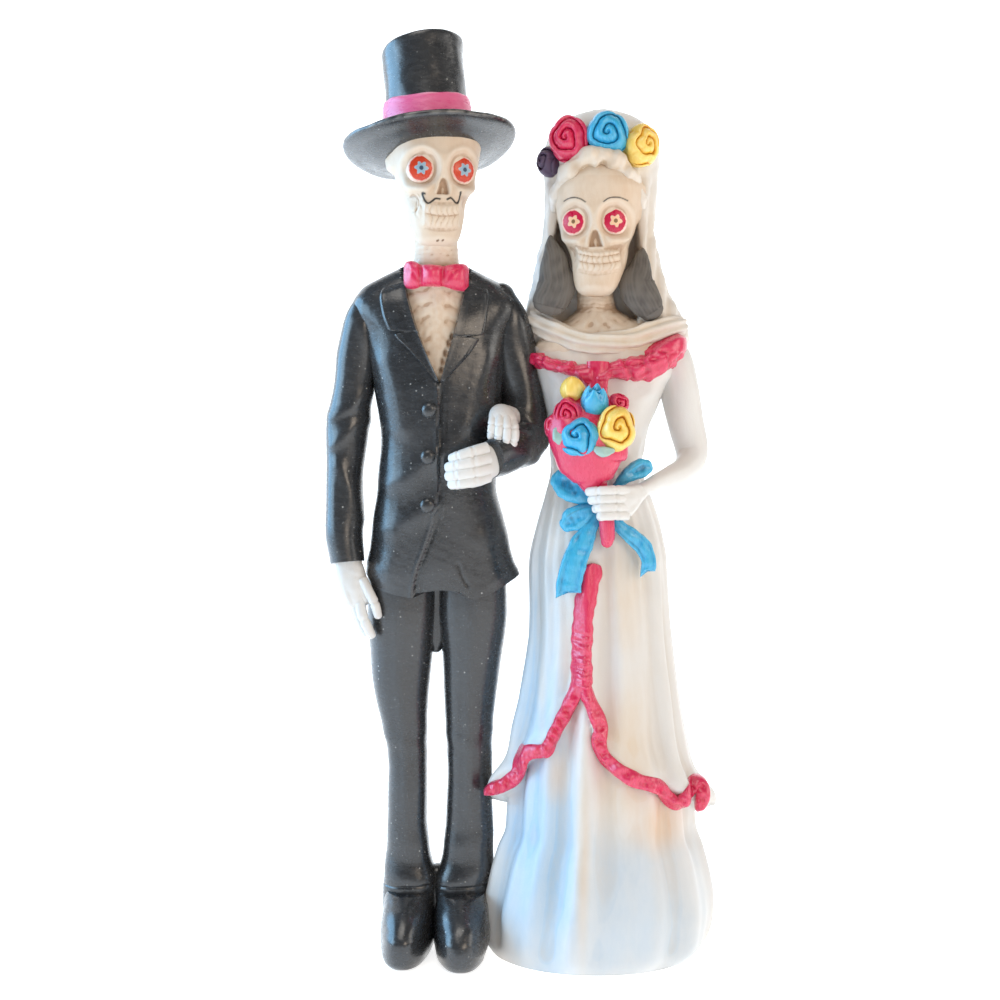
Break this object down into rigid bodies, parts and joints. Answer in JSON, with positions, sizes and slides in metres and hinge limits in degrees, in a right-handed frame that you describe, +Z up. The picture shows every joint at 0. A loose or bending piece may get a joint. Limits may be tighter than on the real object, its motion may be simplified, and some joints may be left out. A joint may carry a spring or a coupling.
{
  "type": "day of the dead skeleton couple figurine",
  "caption": "Hand-painted resin figurine of a skeleton groom in top hat and suit, arm in arm with a veiled skeleton bride holding a bouquet.",
  "frame": {"origin": "on the ground, under the middle of the casting's box", "axes": "+Z up, -Y the way the couple faces, +X towards the bride's side"},
  "size_m": [0.0978, 0.0494, 0.2283],
  "materials": {
    "bone_paint": "off-white satin paint on cast resin with a tan wash in the hollows",
    "black_paint": "satin black paint, dusty, with small pale chips",
    "white_paint": "satin white paint with faint cream and blue tints",
    "pink_paint": "hot pink satin paint, brushed by hand",
    "blue_paint": "cyan blue satin paint, brushed by hand",
    "yellow_paint": "warm yellow satin paint, brushed by hand",
    "purple_paint": "dark purple satin paint",
    "hair_paint": "matt dark grey paint over combed grooves",
    "leaf_paint": "pale grey-green paint",
    "groom_eye_paint": "orange-red paint with a pale blue star and a dark middle",
    "bride_eye_paint": "crimson paint with a yellow star and a black middle"
  },
  "bodies": {
    "root": {"skeleton_couple": "bone_paint"}
  },
  "joints": []
}
